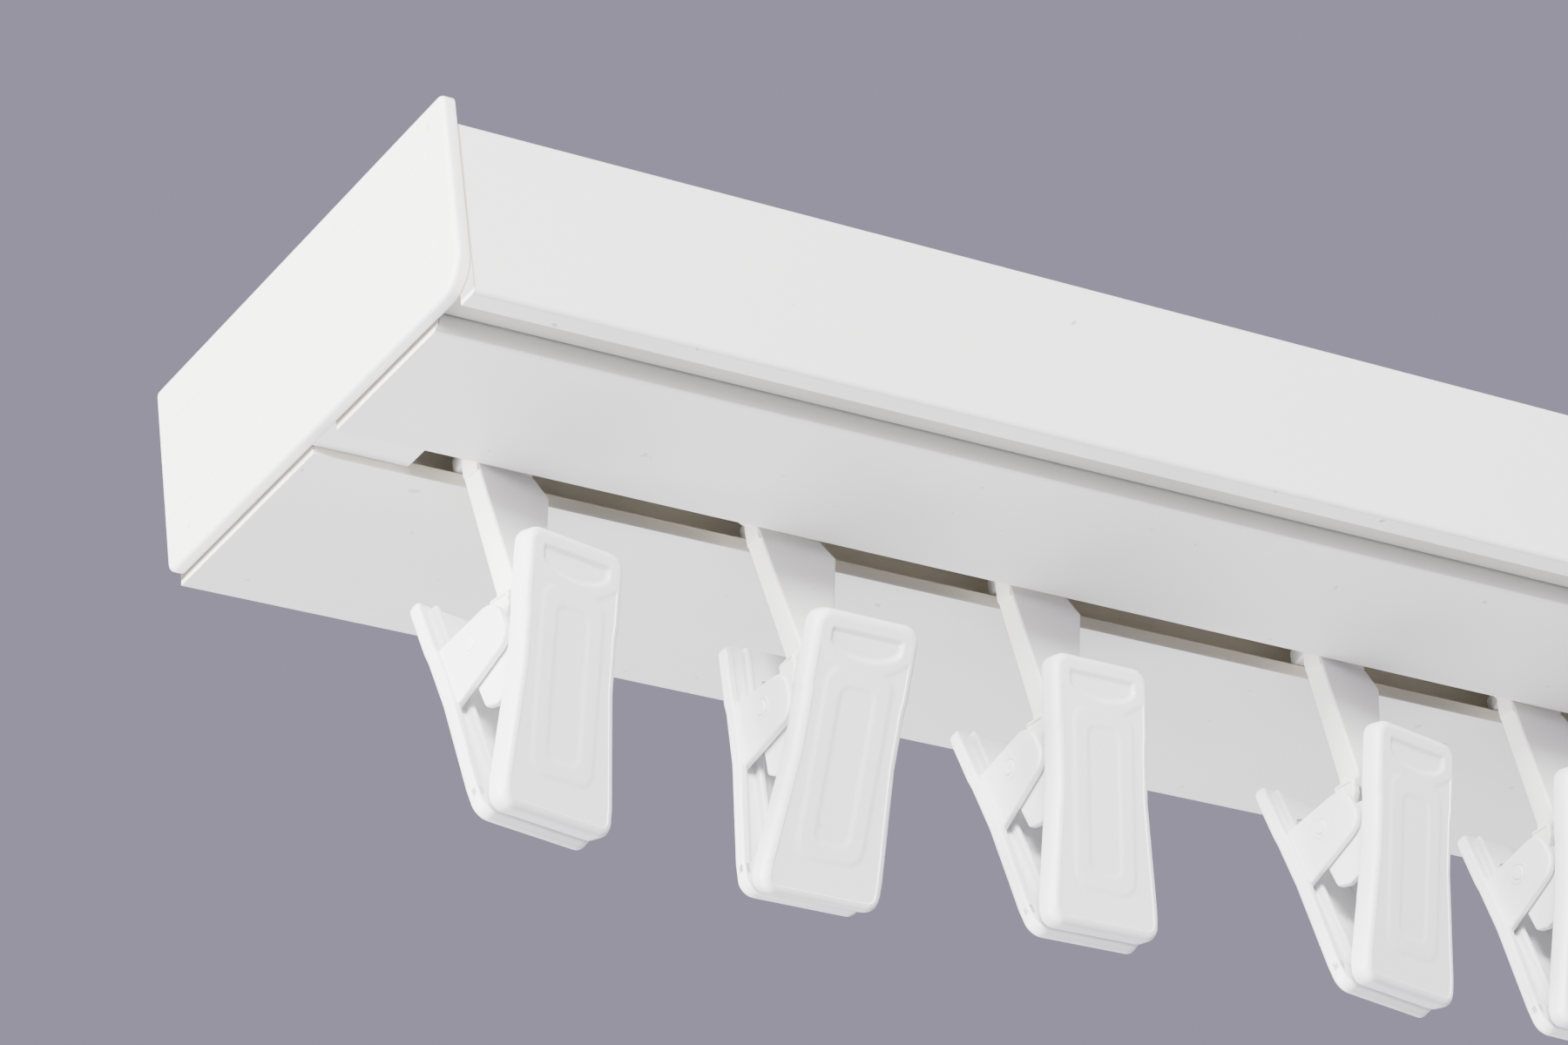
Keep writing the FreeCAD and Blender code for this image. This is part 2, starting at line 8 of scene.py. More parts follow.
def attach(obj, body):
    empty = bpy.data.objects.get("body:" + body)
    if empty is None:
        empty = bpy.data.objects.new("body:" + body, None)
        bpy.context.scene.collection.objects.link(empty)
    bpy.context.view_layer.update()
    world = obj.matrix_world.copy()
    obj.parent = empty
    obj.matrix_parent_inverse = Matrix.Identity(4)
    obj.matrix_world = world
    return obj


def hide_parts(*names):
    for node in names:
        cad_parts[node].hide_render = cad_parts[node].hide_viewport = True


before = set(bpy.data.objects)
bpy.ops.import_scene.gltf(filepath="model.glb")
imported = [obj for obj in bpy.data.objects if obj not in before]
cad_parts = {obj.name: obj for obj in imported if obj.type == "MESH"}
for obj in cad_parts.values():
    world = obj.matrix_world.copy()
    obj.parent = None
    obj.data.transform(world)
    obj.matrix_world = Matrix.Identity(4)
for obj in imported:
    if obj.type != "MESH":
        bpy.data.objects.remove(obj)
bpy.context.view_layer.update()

# The view. The photographer stood below the left-hand end of the track and looked up along it, through a
# long lens held slightly tilted. The studio is a plain grey room with a pale floor under the track.
VIEW_TURN = math.radians(36.3)
VIEW_RISE = math.radians(30.12)
VIEW_TILT = math.radians(-7.22)
VIEW_DISTANCE = 0.807
SEEN_POINT = Vector((-0.2333, -0.0054, -0.030))
SENSOR = 36.0
LENS_IN_PICTURES = 6968 / 1800

forward = Vector((math.sin(VIEW_TURN) * math.cos(VIEW_RISE), math.cos(VIEW_TURN) * math.cos(VIEW_RISE),
                  math.sin(VIEW_RISE)))
level = forward.cross(Vector((0, 0, 1))).normalized()
upright = level.cross(forward)
right = level * math.cos(VIEW_TILT) + upright * math.sin(VIEW_TILT)
up = upright * math.cos(VIEW_TILT) - level * math.sin(VIEW_TILT)
camera = bpy.data.objects.new("camera", bpy.data.cameras.new("camera"))
camera.data.sensor_width = SENSOR
camera.data.lens = SENSOR * LENS_IN_PICTURES
camera.data.clip_start = 0.01
camera.data.clip_end = 20
place = SEEN_POINT - forward * VIEW_DISTANCE
turned = Matrix((right, up, -forward)).transposed().to_4x4()
camera.matrix_world = Matrix.Translation(place) @ turned
bpy.context.scene.collection.objects.link(camera)
bpy.context.scene.camera = camera

room = bpy.data.worlds.new("studio_grey")
room.use_nodes = True
room.node_tree.nodes["Background"].inputs["Color"].default_value = (0.335, 0.312, 0.41, 1)
room.node_tree.nodes["Background"].inputs["Strength"].default_value = 1.0
bpy.context.scene.world = room


def soft_light(name, size, power, place, aim, colour):
    """A rectangular soft box at one place, turned to face another."""
    lamp = bpy.data.lights.new(name, "AREA")
    lamp.shape = "RECTANGLE"
    lamp.size, lamp.size_y = size
    lamp.energy = power
    lamp.color = colour
    holder = bpy.data.objects.new(name, lamp)
    holder.location = place
    holder.rotation_euler = (Vector(aim) - Vector(place)).to_track_quat("-Z", "Y").to_euler()
    bpy.context.scene.collection.objects.link(holder)


soft_light("window_light", (1.1, 0.6), 240, (-1.5, -1.9, 0.55), (-0.15, 0, -0.04), (1.0, 0.985, 0.96))
soft_light("side_light", (0.9, 0.9), 141, (-1.9, 0.1, -0.25), (-0.25, 0, -0.03), (1.0, 0.98, 0.95))
soft_light("floor_bounce", (1.6, 1.2), 24, (-0.35, 0.75, -1.2), (0, 0, -0.03), (1.0, 0.99, 0.97))

FLOOR_HALF = 6.0
FLOOR_LEVEL = -1.5
floor_mesh = bpy.data.meshes.new("floor")
floor_mesh.from_pydata([(-FLOOR_HALF, -FLOOR_HALF, FLOOR_LEVEL), (FLOOR_HALF, -FLOOR_HALF, FLOOR_LEVEL),
                        (FLOOR_HALF, FLOOR_HALF, FLOOR_LEVEL), (-FLOOR_HALF, FLOOR_HALF, FLOOR_LEVEL)],
                       [], [(0, 1, 2, 3)])
floor = bpy.data.objects.new("floor", floor_mesh)
bpy.context.scene.collection.objects.link(floor)
pale = bpy.data.materials.new("pale_floor")
pale.use_nodes = True
pale.node_tree.nodes["Principled BSDF"].inputs["Base Color"].default_value = (0.42, 0.41, 0.45, 1)
pale.node_tree.nodes["Principled BSDF"].inputs["Roughness"].default_value = 0.8
floor_mesh.materials.append(pale)


# The track: one length of white plastic extrusion, hollow, with a wide running channel that opens downwards
# by a narrow slot. Three holes in its top take the screws into the ceiling.
def linked(tree, kind, inputs=None, **settings):
    """A shader node with its settings. Each input is set to a value, or joined to another node's output."""
    node = tree.nodes.new(kind)
    for key, value in settings.items():
        setattr(node, key, value)
    for key, value in (inputs or {}).items():
        if isinstance(value, bpy.types.NodeSocket):
            tree.links.new(value, node.inputs[key])
        else:
            node.inputs[key].default_value = value
    return node


SPECK_COLOUR = (0.42, 0.40, 0.37, 1)


def white_finish(name, colour, roughness, mottle, grain, grain_height, stretch=(1, 1, 1), specks=0.0):
    """White plastic on Object coordinates. Its colour drifts between two near shades with a slow noise, and
    its gloss follows a second noise. A fine noise, stretched along the way the piece was drawn or moulded,
    stands grain_height metres high. Specks are rare small dots where a third noise peaks."""
    material = bpy.data.materials.new(name)
    material.use_nodes = True
    tree = material.node_tree
    surface = tree.nodes["Principled BSDF"]
    where = linked(tree, "ShaderNodeTexCoord").outputs["Object"]
    drift = linked(tree, "ShaderNodeTexNoise", {"Vector": where, "Scale": 28.0, "Detail": 3.0})
    duller = [part * (1 - mottle) for part in colour]
    shade = linked(tree, "ShaderNodeMix", {"Factor": drift.outputs["Fac"], "A": (*colour, 1),
                                           "B": (*duller, 1)}, data_type="RGBA")
    dots = linked(tree, "ShaderNodeTexNoise", {"Vector": where, "Scale": 420.0, "Detail": 1.0})
    peak = linked(tree, "ShaderNodeMapRange", {"Value": dots.outputs["Fac"], "From Min": 0.775,
                                               "From Max": 0.80, "To Min": 0.0, "To Max": specks})
    spotted = linked(tree, "ShaderNodeMix", {"Factor": peak.outputs["Result"], "A": shade.outputs["Result"],
                                             "B": SPECK_COLOUR}, data_type="RGBA")
    tree.links.new(spotted.outputs["Result"], surface.inputs["Base Color"])
    handled = linked(tree, "ShaderNodeTexNoise", {"Vector": where, "Scale": 75.0, "Detail": 4.0})
    gloss = linked(tree, "ShaderNodeMapRange", {"Value": handled.outputs["Fac"], "From Min": 0.3,
                                                "From Max": 0.7, "To Min": roughness - 0.06,
                                                "To Max": roughness + 0.08})
    tree.links.new(gloss.outputs["Result"], surface.inputs["Roughness"])
    drawn = linked(tree, "ShaderNodeMapping", {"Vector": where, "Scale": stretch})
    fine = linked(tree, "ShaderNodeTexNoise", {"Vector": drawn.outputs["Vector"], "Scale": grain,
                                               "Detail": 3.0})
    bump = linked(tree, "ShaderNodeBump", {"Height": fine.outputs["Fac"], "Strength": 1.0,
                                           "Distance": grain_height})
    tree.links.new(bump.outputs["Normal"], surface.inputs["Normal"])
    return material


SOFT_STEP = 0.0003


def painted_shade_in_hollows(finish, hollows, shade_colour):
    """Painted shade where the surface lies in a hollow: a darker colour mixed into the base colour, for the
    shade that falls there. Each hollow gives the lowest and highest metres along some axes, on Object
    coordinates. The painted shade is the product of a soft step at each of these ends."""
    tree = finish.node_tree
    base = tree.nodes["Principled BSDF"].inputs["Base Color"]
    where = linked(tree, "ShaderNodeTexCoord").outputs["Object"]
    axes = linked(tree, "ShaderNodeSeparateXYZ", {"Vector": where}).outputs
    for hollow in hollows:
        inside = 1.0
        for axis, (low, high) in hollow.items():
            for edge, way in ((low, 1), (high, -1)):
                step = linked(tree, "ShaderNodeMapRange", {"Value": axes[axis], "From Min": edge,
                                                           "From Max": edge + way * SOFT_STEP})
                inside = linked(tree, "ShaderNodeMath", {0: step.outputs["Result"], 1: inside},
                                operation="MULTIPLY").outputs["Value"]
        mixed = linked(tree, "ShaderNodeMix", {"Factor": inside, "A": base.links[0].from_socket,
                                               "B": (*shade_colour, 1)}, data_type="RGBA")
        tree.links.new(mixed.outputs["Result"], base)


def repaint(node, finish):
    """The finish goes into each material slot of a CAD node."""
    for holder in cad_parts[node].material_slots:
        holder.material = finish


DRAWN = (0.12, 1, 1)
GRAIN_HEIGHT = 0.00003
track_plastic = white_finish("track_plastic", (0.845, 0.835, 0.815), 0.46, 0.03, 900, GRAIN_HEIGHT, DRAWN,
                             0.5)
# Painted shade: a darker colour in the groove behind the fascia lip, inside the channel, and in the thin gaps
# behind the end caps.
BEHIND_CAPS = [{"X": (-0.302, -0.2997), "Z": (-0.0295, 0.001)}, {"X": (0.2997, 0.302), "Z": (-0.0295, 0.001)}]
painted_shade_in_hollows(track_plastic, [{"Y": (-0.0349, -0.0282), "Z": (-0.0306, -0.004)}], (0.53, 0.52, 0.49))
painted_shade_in_hollows(track_plastic, [{"Y": (-0.0094, 0.0094), "Z": (-0.0299, -0.0015)}], (0.71, 0.67, 0.57))
painted_shade_in_hollows(track_plastic, BEHIND_CAPS, (0.13, 0.11, 0.09))
repaint("track", track_plastic)

# The fascia: a thin plastic strip that snaps on the hooks along the front of the track. Its lip turns back
# under the track and leaves a groove behind it.
fascia_plastic = white_finish("fascia_plastic", (0.895, 0.89, 0.88), 0.38, 0.025, 700, GRAIN_HEIGHT, DRAWN,
                              0.8)
# Painted shade: a darker colour on the fascia in the groove behind its lip and in the thin gaps behind the end
# caps.
painted_shade_in_hollows(fascia_plastic, [{"Y": (-0.0349, -0.0282), "Z": (-0.0298, -0.004)}], (0.43, 0.42, 0.395))
painted_shade_in_hollows(fascia_plastic, BEHIND_CAPS, (0.42, 0.39, 0.35))
repaint("fascia", fascia_plastic)

# The end stops: small moulded blocks of white plastic. Each is pushed into the slot near one end of the track
# and grips it, so that no glider runs out.
stop_plastic = white_finish("stop_plastic", (0.86, 0.865, 0.865), 0.42, 0.02, 1100, GRAIN_HEIGHT)
repaint("end_stop_left", stop_plastic)
repaint("end_stop_right", stop_plastic)

# The end caps: moulded plates with round edges and two faint ridges along them, held by two plugs that are
# pushed into the hollow ends of the track.
MM = 0.001
TRACK_HALF = 300.0


def unit(vectors):
    """Each vector over its own length."""
    return vectors / np.linalg.norm(vectors, axis=-1, keepdims=True)


def rounded_loop(corners, radii, steps=9):
    """A closed line through corners (u, v), each rounded by an arc. The arc's middle lies on the corner's
    bisector, its radius over the sine of half the corner's angle away from the corner."""
    corners, radii = np.array(corners, float), np.broadcast_to(np.array(radii, float), len(corners))
    before, after = unit(np.roll(corners, 1, 0) - corners), unit(np.roll(corners, -1, 0) - corners)
    half = np.arccos(np.clip((before * after).sum(1), -1, 1)) / 2
    middle = corners + unit(before + after) * (radii / np.sin(half))[:, None]
    start = corners + before * (radii / np.tan(half))[:, None] - middle
    end = corners + after * (radii / np.tan(half))[:, None] - middle
    first = np.arctan2(start[:, 1], start[:, 0])
    swept = (np.arctan2(end[:, 1], end[:, 0]) - first + np.pi) % (2 * np.pi) - np.pi
    angle = first[:, None] + swept[:, None] * np.linspace(0, 1, steps)
    arcs = middle[:, None] + radii[:, None, None] * np.stack([np.cos(angle), np.sin(angle)], -1)
    return arcs.reshape(-1, 2)


def outward(loop):
    """Unit vectors square to a closed line in its plane, pointing away from its middle."""
    way = unit(np.roll(loop, -1, 0) - np.roll(loop, 1, 0))
    side = np.stack([-way[:, 1], way[:, 0]], -1)
    u, v = loop.T
    area = (u * np.roll(v, -1) - np.roll(u, -1) * v).sum()
    return side if area < 0 else -side


def wall_faces(levels, count):
    """Quads between each closed ring of points and the next."""
    ids = np.arange(levels * count).reshape(levels, count)
    a, b = ids[:-1], ids[1:]
    return np.stack([a, np.roll(a, -1, 1), np.roll(b, -1, 1), b], -1).reshape(-1, 4).tolist()


def round_edges(low, high, edge, steps=5):
    """(inset, height) pairs of a plate's side: a quarter round at each end, and a narrow flat ring inside it.
    The edge is one radius, or a pair for the low and the high end."""
    angle = np.linspace(0, np.pi / 2, steps)
    ends = []
    for start, way, radius in zip((low, high), (1, -1), np.broadcast_to(edge, 2)):
        inset = np.append(radius + 0.04, radius * (1 - np.sin(angle)))
        height = np.append(0, radius * (1 - np.cos(angle)))
        ends.append(np.stack([inset, start + way * height], -1))
    return np.concatenate([ends[0], ends[1][::-1]])


def slab(loop, low, high, edge, plane):
    """A plate with round edges: the loop drawn in by each inset at each height, and closed by a face at both
    ends. The plane says which two of x, y and z the loop has, and the third is the height."""
    profile = round_edges(low, high, edge)
    flat = loop - profile[:, 0][:, None, None] * outward(loop)
    points = np.empty(flat.shape[:2] + (3,))
    points[..., plane[0]], points[..., plane[1]] = flat[..., 0], flat[..., 1]
    points[..., 3 - plane[0] - plane[1]] = profile[:, 1][:, None]
    count, last = len(loop), len(profile) - 1
    ends = [list(range(count))[::-1], list(range(last * count, (last + 1) * count))]
    return points.reshape(-1, 3), wall_faces(last + 1, count) + ends


def volume(points, faces):
    """The signed volume inside closed faces: the sum over their triangles of a . (b x c) / 6."""
    fans = [(face[0], face[k], face[k + 1]) for face in faces for k in range(1, len(face) - 1)]
    a, b, c = points[np.array(fans)].transpose(1, 0, 2)
    return (a * np.cross(b, c)).sum() / 6


def moulded(parts):
    """Closed parts as one set of points and faces, each with its faces turned outwards."""
    points, faces, start = [], [], 0
    for part, sides in parts:
        way = 1 if volume(part, sides) > 0 else -1
        faces += [[start + k for k in side[::way]] for side in sides]
        points.append(part)
        start += len(part)
    return np.concatenate(points), faces


def put(name, shape, where, finish, body, node):
    """A piece with its place in its mesh, that stands for a CAD node and moves with its body."""
    points, faces = shape
    placed = (points @ where[:3, :3].T + where[:3, 3]) * MM
    mesh = bpy.data.meshes.new(name)
    mesh.from_pydata(placed.tolist(), [], faces)
    mesh.shade_smooth()
    mesh.set_sharp_from_angle(angle=math.radians(42))
    mesh.materials.append(finish)
    piece = bpy.data.objects.new(name, mesh)
    bpy.context.scene.collection.objects.link(piece)
    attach(piece, body)
    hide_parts(node)


XZ, YZ, XY = (0, 2), (1, 2), (0, 1)
EVEN = (1, 1, 1)
cap_plastic = white_finish("cap_plastic", (0.90, 0.895, 0.885), 0.40, 0.02, 1100, GRAIN_HEIGHT, EVEN, 0.3)


def box_loop(front, rear, low, high, radii):
    """A rounded rectangle, from its front lower corner round to its front upper one."""
    return rounded_loop([(front, low), (rear, low), (rear, high), (front, high)], radii)


def cap_shape(side):
    """The parts of the cap at one end: a plate, two ridges 0.1 proud of it, and two plugs."""
    parts = [slab(box_loop(-38.2, 39.3, -28.8, -0.4, [5, 1.4, 1.0, 1.2]), 0, 2.0, (0.2, 0.7), YZ)]
    for height in (-6.8, -20.6):
        parts.append(slab(box_loop(-33.2, 37.0, height - 0.45, height + 0.45, 0.4), 1.8, 2.1, 0.1, YZ))
    for front, rear in ((-27.9, -10.6), (10.6, 37.7)):
        parts.append(slab(box_loop(front, rear, -28.4, -1.6, 0.4), -8.0, 0.2, 0.3, YZ))
    return moulded([(points * (side, 1, 1) + (side * TRACK_HALF, 0, 0), faces) for points, faces in parts])


for name, side in (("left", -1), ("right", 1)):
    put(f"end_cap_{name}_moulding", cap_shape(side), np.eye(4), cap_plastic, "track", f"end_cap_{name}")

# The gliders: each is one moulding with a flat head that slides in the channel, a thin neck in the slot, a
# tapered stem below the track, and a yoke of two cheeks that carry the pin of a clip.
# A station is a glider's place along the track, its turn, its dip, its lean and the swing of its clip.
UNDERSIDE = -30.0
STATIONS = ((27.3, 11.0, 0.0, -1.7, 1.4), (71.8, 0.9, 0.0, -2.9, 18.6), (112.5, 3.6, -2.1, 2.6, -3.6),
            (165.0, 10.9, 0.0, 0.0, 0.0), (201.0, 4.0, 0.0, 0.0, 0.0), (262.0, 7.0, 0.0, 0.0, 0.0),
            (345.0, 2.0, 0.0, 0.0, 0.0))
PIN_BACK, PIN_DROP = 2.9, 25.3
HEAD_HALF_WIDTH, HEAD_HALF_LENGTH = 5.5, 8.2


def turn_about(axis, degrees):
    """A turn about one of the three axes, 0 to 2, as a 4 by 4 matrix."""
    a, b = [(1, 2), (2, 0), (0, 1)][axis]
    matrix = np.eye(4)
    matrix[a, a] = matrix[b, b] = math.cos(math.radians(degrees))
    matrix[b, a] = math.sin(math.radians(degrees))
    matrix[a, b] = -matrix[b, a]
    return matrix


def shift(x, y, z):
    """A move by three distances as a 4 by 4 matrix."""
    matrix = np.eye(4)
    matrix[:3, 3] = x, y, z
    return matrix


def hanging(station):
    """Where a glider hangs: moved along the track, then turned about z, leaned about x and dipped about y.
    A tilted head lifts the glider by its half size times the sine of the tilt."""
    along, turn, dip, lean, _ = station
    lift = (HEAD_HALF_WIDTH * math.sin(abs(math.radians(lean)))
            + HEAD_HALF_LENGTH * math.sin(abs(math.radians(dip))))
    return (shift(along - TRACK_HALF, 0, UNDERSIDE + lift) @ turn_about(2, turn) @ turn_about(0, lean)
            @ turn_about(1, dip))


def at_pin(station, lean):
    """The pin of a glider's clip, turned about x by the clip's swing and by a lean of its own."""
    return hanging(station) @ shift(0, PIN_BACK, -PIN_DROP) @ turn_about(0, station[4] + lean)


stem_points, stem_faces = slab(rounded_loop(
    [(-4.5, -19.8), (4.5, -19.8), (4.5, -18.8), (2.3, -17.8), (5.6, -1.5), (3.4, 0.9), (-6.9, 0.9),
     (-2.9, -17.8), (-4.5, -18.8)], [0.5, 0.5, 0.5, 1.2, 0.5, 0.5, 0.5, 1.2, 0.5]), -1.75, 1.75, 0.4, XZ)
stem_points[:, 1] *= 0.90 - 0.009 * stem_points[:, 2]
neck = slab(rounded_loop([(-6.8, -1.0), (3.2, -1.0), (3.2, 3.6), (-6.8, 3.6)], 0.3), -1.45, 1.45, 0.25, XZ)
head = slab(rounded_loop([(1.6, -5.5), (3.6, -3.5), (3.6, 3.5), (1.6, 5.5), (-4.6, 5.5), (-6.0, 1.5),
                          (-8.2, 0.8), (-8.2, -0.8), (-6.0, -1.5), (-4.6, -5.5)],
                         [0.8, 0.8, 0.8, 0.8, 0.8, 0.6, 0.6, 0.6, 0.6, 0.8]), 2.3, 4.9, 0.35, XY)
cheek_loop = rounded_loop([(-1.75, -18.8), (-1.75, -20.8), (0.7, -25.3), (1.8, -27.5), (4.0, -27.5),
                           (5.1, -25.3), (5.1, -23.1), (1.75, -19.8), (1.75, -18.8)],
                          [0.3, 1.0, 0.8, 0.9, 0.9, 0.8, 0.8, 0.6, 0.3])
cheeks = [slab(cheek_loop, low, low + 1.3, 0.25, YZ) for low in (-4.5, 3.2)]
glider_shape = moulded([(stem_points, stem_faces), neck, head, *cheeks])
glider_plastic = white_finish("glider_plastic", (0.865, 0.855, 0.84), 0.44, 0.03, 1300, GRAIN_HEIGHT,
                              (1, 1, 0.5), 0.2)
for number, station in enumerate(STATIONS, start=1):
    put(f"glider_{number}_moulding", glider_shape, hanging(station), glider_plastic, f"glider_{number}",
        f"glider_{number}")

# The front levers: each is a moulded tray with a rim behind it and two inner ears that hold the pin. Its face
# has a finger recess near the top and two shallow nested panels below it.
TOP, BOTTOM = 14.0, -24.1
FRONT_FACE, FRONT_RIM, FRONT_FLOOR = -11.0, -7.95, -9.5
FRONT_EDGE, FRONT_LEAN = 1.15, 14.0
ACROSS, DOWN = 60, 120


def along_line(line, count):
    """Points at even steps of length along an open line."""
    far = np.concatenate([[0], np.cumsum(np.linalg.norm(np.diff(line, axis=0), axis=1))])
    steps = np.linspace(0, far[-1], count + 1)
    return np.stack([np.interp(steps, far, line[:, k]) for k in range(line.shape[1])], -1)


def lever_corners(top, bottom, inset, foot=(9.4, -20.0)):
    """The corners of a lever's outline, clockwise from its top left: a broad head, a waist, a flared foot."""
    right = [(8.3 - inset, top - inset), (8.3 - inset, 4.0), (8.1 - inset, 2.5), (8.1 - inset, -5.0),
             (foot[0] - inset, foot[1]), (foot[0] - inset, bottom)]
    return [(-u, v) for u, v in right[:1]] + right + [(-u, v) for u, v in right[:0:-1]]


def lever_loop(corners, top_radius, foot_radius):
    """The outline with its corners rounded, as even steps from the middle of each main corner to the next."""
    radii = [top_radius, top_radius, 1.5, 1.5, 5, 4, foot_radius, foot_radius, 4, 5, 1.5, 1.5]
    steps = 9
    line = rounded_loop(corners, radii, steps)
    marks = [corner * steps + steps // 2 for corner in (0, 1, 6, 7)]
    line = np.concatenate([line, line[:marks[0] + 1]])
    spans = [line[a:b + 1] for a, b in zip(marks, marks[1:] + [len(line) - 1])]
    counts = (ACROSS, DOWN, ACROSS, DOWN)
    return np.concatenate([along_line(span, count)[:-1] for span, count in zip(spans, counts)])


def filled(ring, table):
    """Points over a closed ring of four joined lines: the two straight blends between opposite lines, added,
    less the blend of the four corners."""
    u, v = np.linspace(0, 1, ACROSS + 1)[None, :, None], np.linspace(0, 1, DOWN + 1)[:, None, None]
    top, low, left, right = ring[table[0]], ring[table[-1]], ring[table[:, 0]], ring[table[:, -1]]
    sides = (1 - v) * top[None] + v * low[None] + (1 - u) * left[:, None] + u * right[:, None]
    ends = (1 - v) * ((1 - u) * top[0] + u * top[-1]) + v * ((1 - u) * low[0] + u * low[-1])
    return sides - ends


def tray(rings, relief):
    """A closed shell: walls from ring to ring, a face grid over the first and a floor grid over the last. The
    relief moves the face's points along y by a function of x and z."""
    rings = np.array(rings)
    levels, count = rings.shape[:2]
    table = np.zeros((DOWN + 1, ACROSS + 1), int)
    table[0] = np.arange(ACROSS + 1)
    table[:, -1] = ACROSS + np.arange(DOWN + 1)
    table[-1, ::-1] = ACROSS + DOWN + np.arange(ACROSS + 1)
    table[::-1, 0] = (2 * ACROSS + DOWN + np.arange(DOWN + 1)) % count
    points, faces = [rings.reshape(-1, 3)], wall_faces(levels, count)
    total = levels * count
    for ring, way in ((0, -1), (levels - 1, 1)):
        grid = filled(rings[ring], table)
        if ring == 0:
            grid[..., 1] += relief(grid[..., 0], grid[..., 2])
        numbers = table + ring * count
        numbers[1:-1, 1:-1] = total + np.arange((DOWN - 1) * (ACROSS - 1)).reshape(DOWN - 1, ACROSS - 1)
        points.append(grid[1:-1, 1:-1].reshape(-1, 3))
        total += len(points[-1])
        quads = np.stack([numbers[:-1, :-1], numbers[:-1, 1:], numbers[1:, 1:], numbers[1:, :-1]], -1)
        faces += quads.reshape(-1, 4)[:, ::way].tolist()
    return np.concatenate(points), faces


def ring_at(loop, inset, y):
    """The loop drawn in by an inset, at a distance y from the pin."""
    drawn = loop - inset * outward(loop)
    return np.stack([drawn[:, 0], np.full(len(drawn), y), drawn[:, 1]], -1)


def lever_rings(outer, inner, face, rim, floor, edge):
    """Rings of a lever's tray: round its face's edge, down its side, over its rim and down to its floor. Each
    turn is a quarter circle, with r (1 - sin a) for the inset and r (1 - cos a) for the height, or swapped."""
    angle = np.linspace(0, np.pi / 2, 8)
    rings = [ring_at(outer, edge * (1 - math.sin(a)), face + edge * (1 - math.cos(a))) for a in angle]
    small = np.linspace(0, np.pi / 2, 4)
    rings += [ring_at(outer, 0.3 * (1 - math.cos(a)), rim - 0.3 * (1 - math.sin(a))) for a in small]
    rings += [ring_at(inner, -0.25 * (1 - math.sin(a)), rim - 0.25 * (1 - math.cos(a))) for a in small]
    rings += [ring_at(inner, 0.4 * (1 - math.cos(a)), floor + 0.4 * (1 - math.sin(a))) for a in small]
    return rings


def smooth_step(value):
    """3 v squared less 2 v cubed, with v held between 0 and 1."""
    inside = np.clip(value, 0, 1)
    return inside * inside * (3 - 2 * inside)


def panel(x, down, half, first, last, corner):
    """1 inside a panel with rounded corners and 0 outside, with a smooth step over 0.7 at its edge."""
    across = np.abs(x) - half + corner
    along = np.abs(down - (first + last) / 2) - (last - first) / 2 + corner
    beyond = np.hypot(np.clip(across, 0, None), np.clip(along, 0, None)) - corner
    beyond += np.minimum(np.maximum(across, along), 0)
    return smooth_step(0.2 - beyond / 0.7)


RELIEF, THUMB_DEPTH = 0.12, 0.38


def front_relief(x, z):
    """How far the face lies behind its plane. The head, above a curve, and a long panel below it stand proud
    of the rest. Sunk in them are a narrower panel and a D with a straight top and a curved foot."""
    down = TOP - z
    head = smooth_step((8.3 - 3.6 * (x / 8) ** 2 - down) / 0.6)
    low = 3.5 + 2.4 * np.sqrt(np.clip(1 - (x / 5.7) ** 2, 0, 1))
    thumb = smooth_step(0.3 + np.minimum(np.minimum(down - 2.4, low - down), 5.6 - np.abs(x)) / 0.5)
    proud = np.maximum(head, panel(x, down, 5.4, 7.0, 32.8, 2.6))
    return RELIEF * (1 - proud) + RELIEF * panel(x, down, 2.9, 9.5, 30.5, 1.6) + THUMB_DEPTH * thumb


front_outer = lever_loop(lever_corners(TOP, BOTTOM, 0), 2.4, 2.2)
front_inner = lever_loop(lever_corners(TOP, -20.3, 1.3, (9.4, -18.5)), 1.3, 0.5)
front_rings = lever_rings(front_outer, front_inner, FRONT_FACE, FRONT_RIM, FRONT_FLOOR, FRONT_EDGE)
front_tray = tray(front_rings, front_relief)
inner_ear_loop = rounded_loop([(-10.2, 3.6), (0, 2.6), (2.6, 1.2), (2.6, -1.2), (-2.1, -8.6), (-4.2, -8.6),
                               (-10.2, -5.0)], [0.35, 1.6, 1.2, 1.6, 0.8, 0.9, 0.35])
inner_ears = [slab(inner_ear_loop, low, low + 1.2, 0.3, YZ) for low in (-6.0, 4.8)]
front_shape = moulded([front_tray, *inner_ears])
lever_plastic = white_finish("lever_plastic", (0.80, 0.805, 0.82), 0.40, 0.02, 1300, 0.00002, EVEN, 0.2)
for number, station in enumerate(STATIONS, start=1):
    put(f"clip_front_{number}_moulding", front_shape, at_pin(station, FRONT_LEAN), lever_plastic,
        f"clip_front_{number}", f"clip_front_{number}")

# The rear levers: each is a moulded channel that is open at its top, with two ribs along its floor, a jaw at
# its foot, and two outer ears, each with a raised ring round the hole that turns on the pin.
BACK_TOP, BACK_BOTTOM = 13.2, -24.7
BACK_FACE, BACK_RIM, BACK_FLOOR = 7.4, 5.3, 6.4
BACK_LEAN = -15.6
RIM_WALL = 1.3


def raised_ring(inner, outer, low, high, steps=40):
    """A short tube along x: a circle (x, r cos a, r sin a) at each corner of its section, joined all round."""
    angle = np.linspace(0, 2 * np.pi, steps + 1)[:-1]
    section = np.array([(low, outer), (high, outer), (high, inner), (low, inner)])
    circle = np.stack([np.ones(steps), np.cos(angle), np.sin(angle)], -1)
    points = section[:, [0, 1, 1]][:, None] * circle
    return points.reshape(-1, 3), (np.array(wall_faces(5, steps)) % (4 * steps)).tolist()


